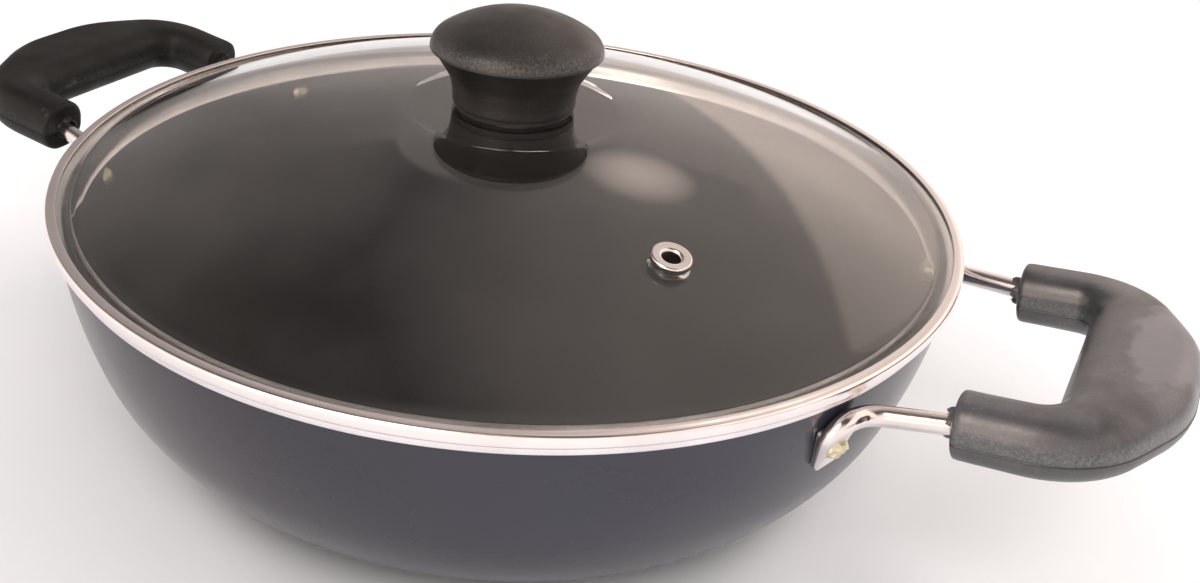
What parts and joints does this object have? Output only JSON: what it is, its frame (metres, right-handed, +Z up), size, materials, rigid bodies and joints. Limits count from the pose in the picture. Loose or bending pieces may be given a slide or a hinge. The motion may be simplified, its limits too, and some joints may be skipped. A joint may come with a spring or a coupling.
{
  "type": "kadai with glass lid",
  "caption": "Shallow round-bottomed cooking pan with looped side handles, and a domed glass lid with a steel rim, a steam vent and a mushroom knob.",
  "frame": {"origin": "centre of the flat base, on the surface the pan stands on", "axes": "+Z up along the bowl's axis, +X through the right handle, +Y to the back"},
  "size_m": [0.3528, 0.242, 0.1174],
  "materials": {
    "coated_aluminium": "dark non-stick coating, satin-gloss, bare lip",
    "handle_steel": "bright plated wire",
    "grip_bakelite": "satin black phenolic moulding",
    "rivet_aluminium": "hammered",
    "tempered_glass": "clear, polished edge",
    "ring_steel": "polished stainless strip",
    "silicone": "dark translucent sealant",
    "knob_bakelite": "satin black phenolic moulding, worn",
    "insert_brass": "turned",
    "screw_steel": "zinc plated",
    "gasket_rubber": "moulded black rubber",
    "eyelet_steel": "pressed stainless"
  },
  "bodies": {
    "pan": {"bowl": "coated_aluminium", "handle_rod_right": "handle_steel", "handle_rod_left": "handle_steel", "grip_right": "grip_bakelite", "grip_left": "grip_bakelite", "rivet_right_front": "rivet_aluminium", "rivet_right_rear": "rivet_aluminium", "rivet_left_front": "rivet_aluminium", "rivet_left_rear": "rivet_aluminium"},
    "lid": {"lid_glass": "tempered_glass", "lid_ring": "ring_steel", "ring_seal": "silicone", "knob": "knob_bakelite", "knob_insert": "insert_brass", "knob_screw": "screw_steel", "knob_gasket": "gasket_rubber", "knob_lower_gasket": "gasket_rubber", "knob_washer": "screw_steel", "vent_eyelet": "eyelet_steel", "vent_seal": "silicone", "vent_washer": "eyelet_steel"}
  },
  "joints": [
    {"name": "lid_lift", "type": "slide", "parent": "pan", "child": "lid", "axis": [0, 0, 1], "range_m": [0, 0.12]}
  ]
}
